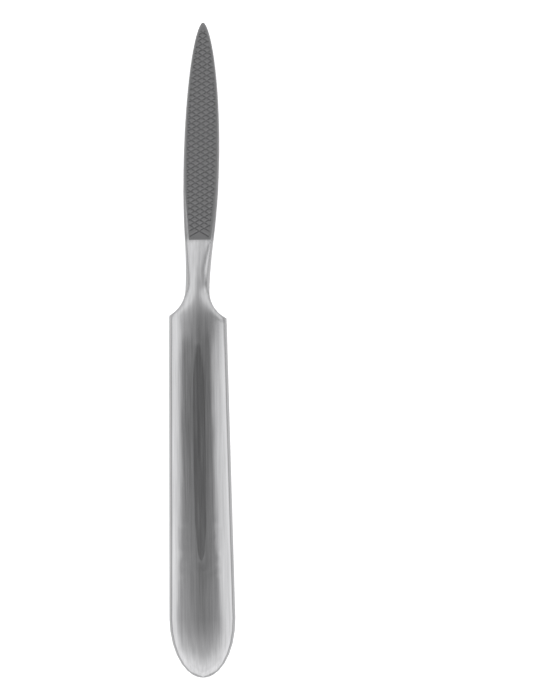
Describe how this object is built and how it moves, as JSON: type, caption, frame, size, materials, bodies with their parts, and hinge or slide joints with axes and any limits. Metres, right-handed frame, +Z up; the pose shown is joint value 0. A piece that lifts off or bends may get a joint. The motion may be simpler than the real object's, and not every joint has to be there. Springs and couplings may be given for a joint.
{
  "type": "bone file",
  "caption": "One-piece surgical bone file: leaf-shaped blade with cross-cut teeth on both faces, slim neck, concave shoulders and a flat handle with a rounded butt.",
  "frame": {"origin": "centre of the bounding box in X and Y, on the surface that the file lies on", "axes": "+Y along the file towards the tip, +X across the handle, +Z up through its thickness"},
  "size_m": [0.0172, 0.1698, 0.0062],
  "materials": {
    "steel": "satin-ground stainless steel, duller on the toothed faces"
  },
  "bodies": {
    "root": {"bone_file": "steel"}
  },
  "joints": []
}
